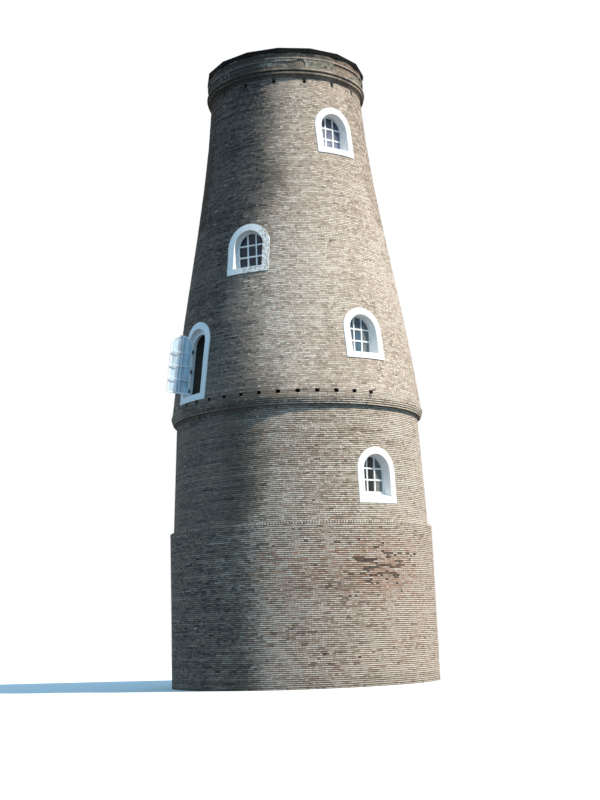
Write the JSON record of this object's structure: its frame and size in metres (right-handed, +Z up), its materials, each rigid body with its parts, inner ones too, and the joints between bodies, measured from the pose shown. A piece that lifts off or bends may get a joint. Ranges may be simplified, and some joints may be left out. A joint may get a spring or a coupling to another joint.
{
  "type": "brick windmill tower",
  "caption": "Round tapering brick tower of a disused mill on a plain lower storey, with a stepped band of beam sockets, white arched windows and doors, a corbelled crown and a low boarded roof.",
  "frame": {"origin": "centre of the tower at ground level, on the underside of the ground floor slab and of the walls", "axes": "+Z up, -Y towards the viewer of the picture, +X to the right as seen in the picture"},
  "size_m": [8.26, 8.26, 19.755],
  "materials": {
    "brick": "matte",
    "white_plaster": "matte",
    "grey_plaster": "matte",
    "stone_slab": "matte",
    "timber": "matte",
    "painted_wood": "satin",
    "roof_felt": "matte",
    "glass": "gloss"
  },
  "bodies": {
    "root": {"base_wall_front_right": "brick", "base_wall_back_right": "brick", "base_wall_back_left": "brick", "base_wall_front_left": "brick", "lower_wall_front_right": "brick", "lower_wall_back_right": "brick", "lower_wall_back_left": "brick", "lower_wall_front_left": "brick", "string_course_front_right": "brick", "string_course_back_right": "brick", "string_course_back_left": "brick", "string_course_front_left": "brick", "upper_wall_front_right": "brick", "upper_wall_back_right": "brick", "upper_wall_back_left": "brick", "upper_wall_front_left": "brick", "cornice_front_right": "brick", "cornice_back_right": "brick", "cornice_back_left": "brick", "cornice_front_left": "brick", "plaster_band": "grey_plaster", "ground_floor": "stone_slab", "lower_floor": "timber", "stage_floor": "timber", "middle_floor": "timber", "top_floor": "timber", "lower_window_surrounds": "white_plaster", "stage_window_surrounds": "white_plaster", "middle_window_surrounds": "white_plaster", "upper_window_surrounds": "white_plaster", "lower_window_frames": "painted_wood", "stage_window_frames": "painted_wood", "middle_window_frames": "painted_wood", "upper_window_frames": "painted_wood", "window_glass": "glass", "stage_door_surrounds": "white_plaster", "stage_door_frames": "painted_wood", "stage_door_leaf_near": "painted_wood", "stage_door_leaf_far": "painted_wood", "stage_door_glass": "glass", "ground_door_surround": "white_plaster", "ground_door_leaves": "timber", "roof_joists": "timber", "roof_deck": "roof_felt", "roof_edge": "timber"}
  },
  "joints": []
}
